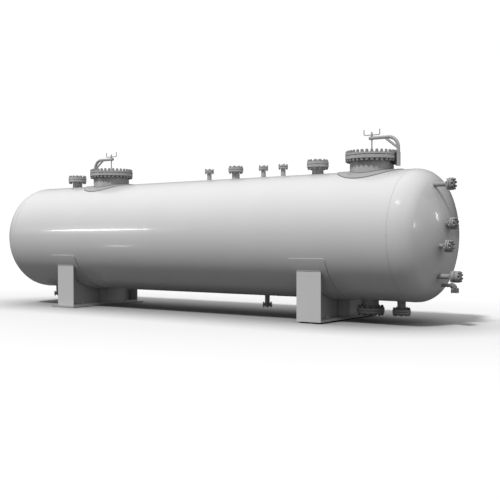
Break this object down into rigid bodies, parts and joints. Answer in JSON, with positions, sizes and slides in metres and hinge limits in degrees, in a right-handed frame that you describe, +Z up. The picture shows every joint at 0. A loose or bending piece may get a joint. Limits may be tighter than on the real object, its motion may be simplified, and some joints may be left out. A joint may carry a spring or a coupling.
{
  "type": "horizontal pressure tank",
  "caption": "Horizontal cylindrical pressure tank with dished heads, saddle supports, top manways with cover davits and blanked flanged nozzles.",
  "frame": {"origin": "on the floor under the centre of the fixed saddle's bearing plate", "axes": "+X along the tank's axis towards the head that carries nozzles, +Z up, -Y to the side seen in the picture"},
  "size_m": [8.4888, 1.8, 2.685],
  "materials": {
    "tank_paint": "gloss light grey paint",
    "saddle_paint": "satin light grey paint",
    "bearing_steel": "dull grey primed steel",
    "fitting_paint": "satin light grey paint",
    "davit_paint": "satin light grey paint"
  },
  "bodies": {
    "root": {"bottom_blinds": "fitting_paint", "bottom_nozzles": "fitting_paint", "drain_blinds": "fitting_paint", "drain_nozzles": "fitting_paint", "elbow_blind": "fitting_paint", "elbow_nozzle": "fitting_paint", "fixed_saddle_base_plate": "saddle_paint", "fixed_saddle_bearing_plate": "bearing_steel", "fixed_saddle_end_plates": "saddle_paint", "fixed_saddle_ribs": "saddle_paint", "fixed_saddle_wear_plate": "tank_paint", "fixed_saddle_web": "saddle_paint", "gauge_blinds": "fitting_paint", "gauge_nozzles": "fitting_paint", "large_top_blinds": "fitting_paint", "large_top_nozzles": "fitting_paint", "left_davit": "davit_paint", "left_davit_bracket": "davit_paint", "left_head": "tank_paint", "left_lifting_screw": "davit_paint", "left_manway_cover": "fitting_paint", "left_manway_flange": "fitting_paint", "left_manway_neck": "fitting_paint", "left_manway_pad": "fitting_paint", "medium_top_blind": "fitting_paint", "medium_top_nozzle": "fitting_paint", "outlet_blind": "fitting_paint", "outlet_nozzle": "fitting_paint", "right_davit": "davit_paint", "right_davit_bracket": "davit_paint", "right_head": "tank_paint", "right_lifting_screw": "davit_paint", "right_manway_cover": "fitting_paint", "right_manway_flange": "fitting_paint", "right_manway_neck": "fitting_paint", "right_manway_pad": "fitting_paint", "shell": "tank_paint", "sliding_saddle_base_plate": "saddle_paint", "sliding_saddle_bearing_plate": "bearing_steel", "sliding_saddle_end_plates": "saddle_paint", "sliding_saddle_ribs": "saddle_paint", "sliding_saddle_wear_plate": "tank_paint", "sliding_saddle_web": "saddle_paint", "small_top_blinds": "fitting_paint", "small_top_nozzles": "fitting_paint"}
  },
  "joints": []
}
